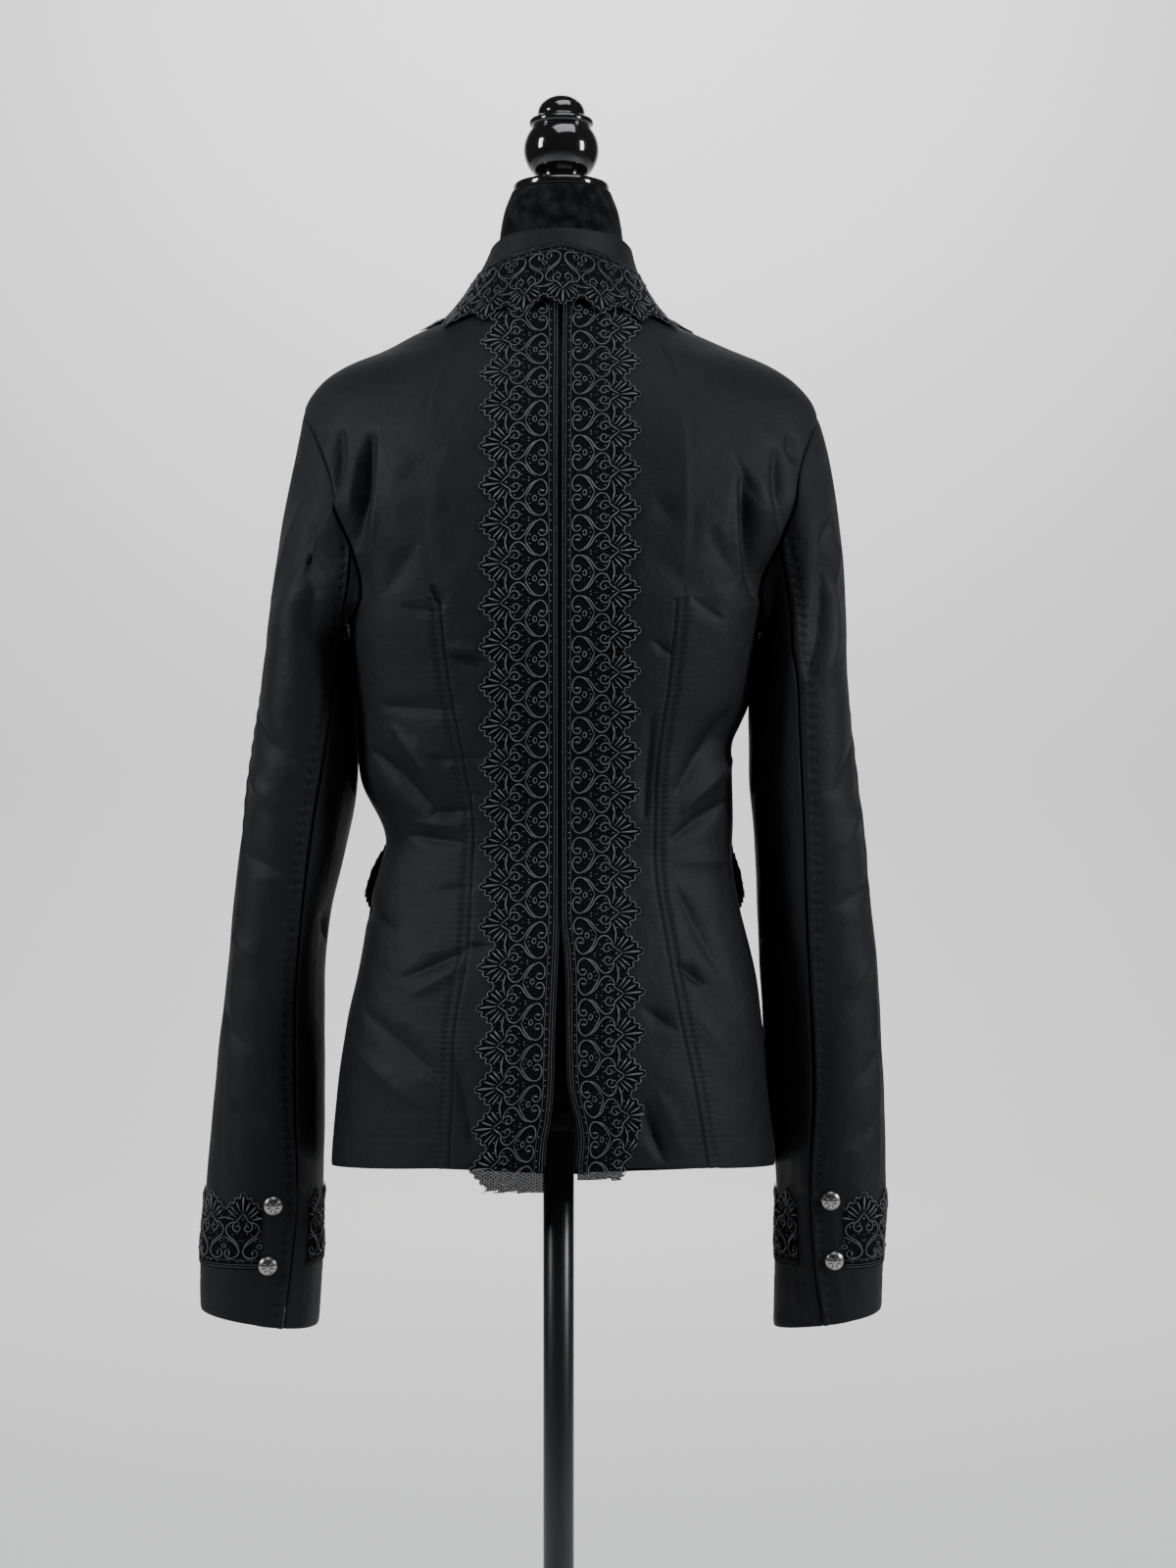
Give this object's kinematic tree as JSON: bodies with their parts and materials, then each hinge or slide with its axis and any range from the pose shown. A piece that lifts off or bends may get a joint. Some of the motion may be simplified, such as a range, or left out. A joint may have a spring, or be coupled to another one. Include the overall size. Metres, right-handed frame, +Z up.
{
  "type": "lace-trimmed blazer on a velvet dress form and pole stand",
  "caption": "Black sateen blazer with lace down the back, collar, cuffs and pocket flaps, worn by a limbless velvet dress form with a turned finial on a pole stand",
  "frame": {"origin": "centre of the flat underside of the stand's base, on the pole's axis", "axes": "+Z up along the pole; the blazer's back faces -Y; +X toward the wearer's right"},
  "size_m": [0.5079, 0.3, 1.3604],
  "materials": {
    "sateen": "black cotton sateen with a soft satin sheen",
    "lace": "matt black corded lace on a fine net ground",
    "velvet": "deep black velvet",
    "black_wood": "turned wood in gloss black lacquer",
    "black_metal": "satin black paint",
    "silver": "antique silver with dark recesses"
  },
  "bodies": {
    "root": {"back_left": "sateen", "back_right": "sateen", "front_left": "sateen", "front_right": "sateen", "lapel_left": "sateen", "lapel_right": "sateen", "sleeve_cap_left": "sateen", "sleeve_cap_right": "sateen", "sleeve_upper_left": "sateen", "sleeve_under_left": "sateen", "sleeve_upper_right": "sateen", "sleeve_under_right": "sateen", "collar_fall": "sateen", "collar_stand": "sateen", "pocket_flap_left": "sateen", "pocket_flap_right": "sateen", "lace_back_left": "lace", "lace_back_right": "lace", "lace_collar": "lace", "lace_cuff_left": "lace", "lace_under_left": "lace", "lace_cuff_right": "lace", "lace_under_right": "lace", "lace_flap_left": "lace", "lace_flap_right": "lace", "button_cuff_left_1": "silver", "button_cuff_left_2": "silver", "button_cuff_right_1": "silver", "button_cuff_right_2": "silver", "button_front_1": "silver", "button_front_2": "silver", "form_body": "velvet", "neck_cap": "black_wood", "finial": "black_wood", "pole": "black_metal", "base": "black_metal"}
  },
  "joints": []
}
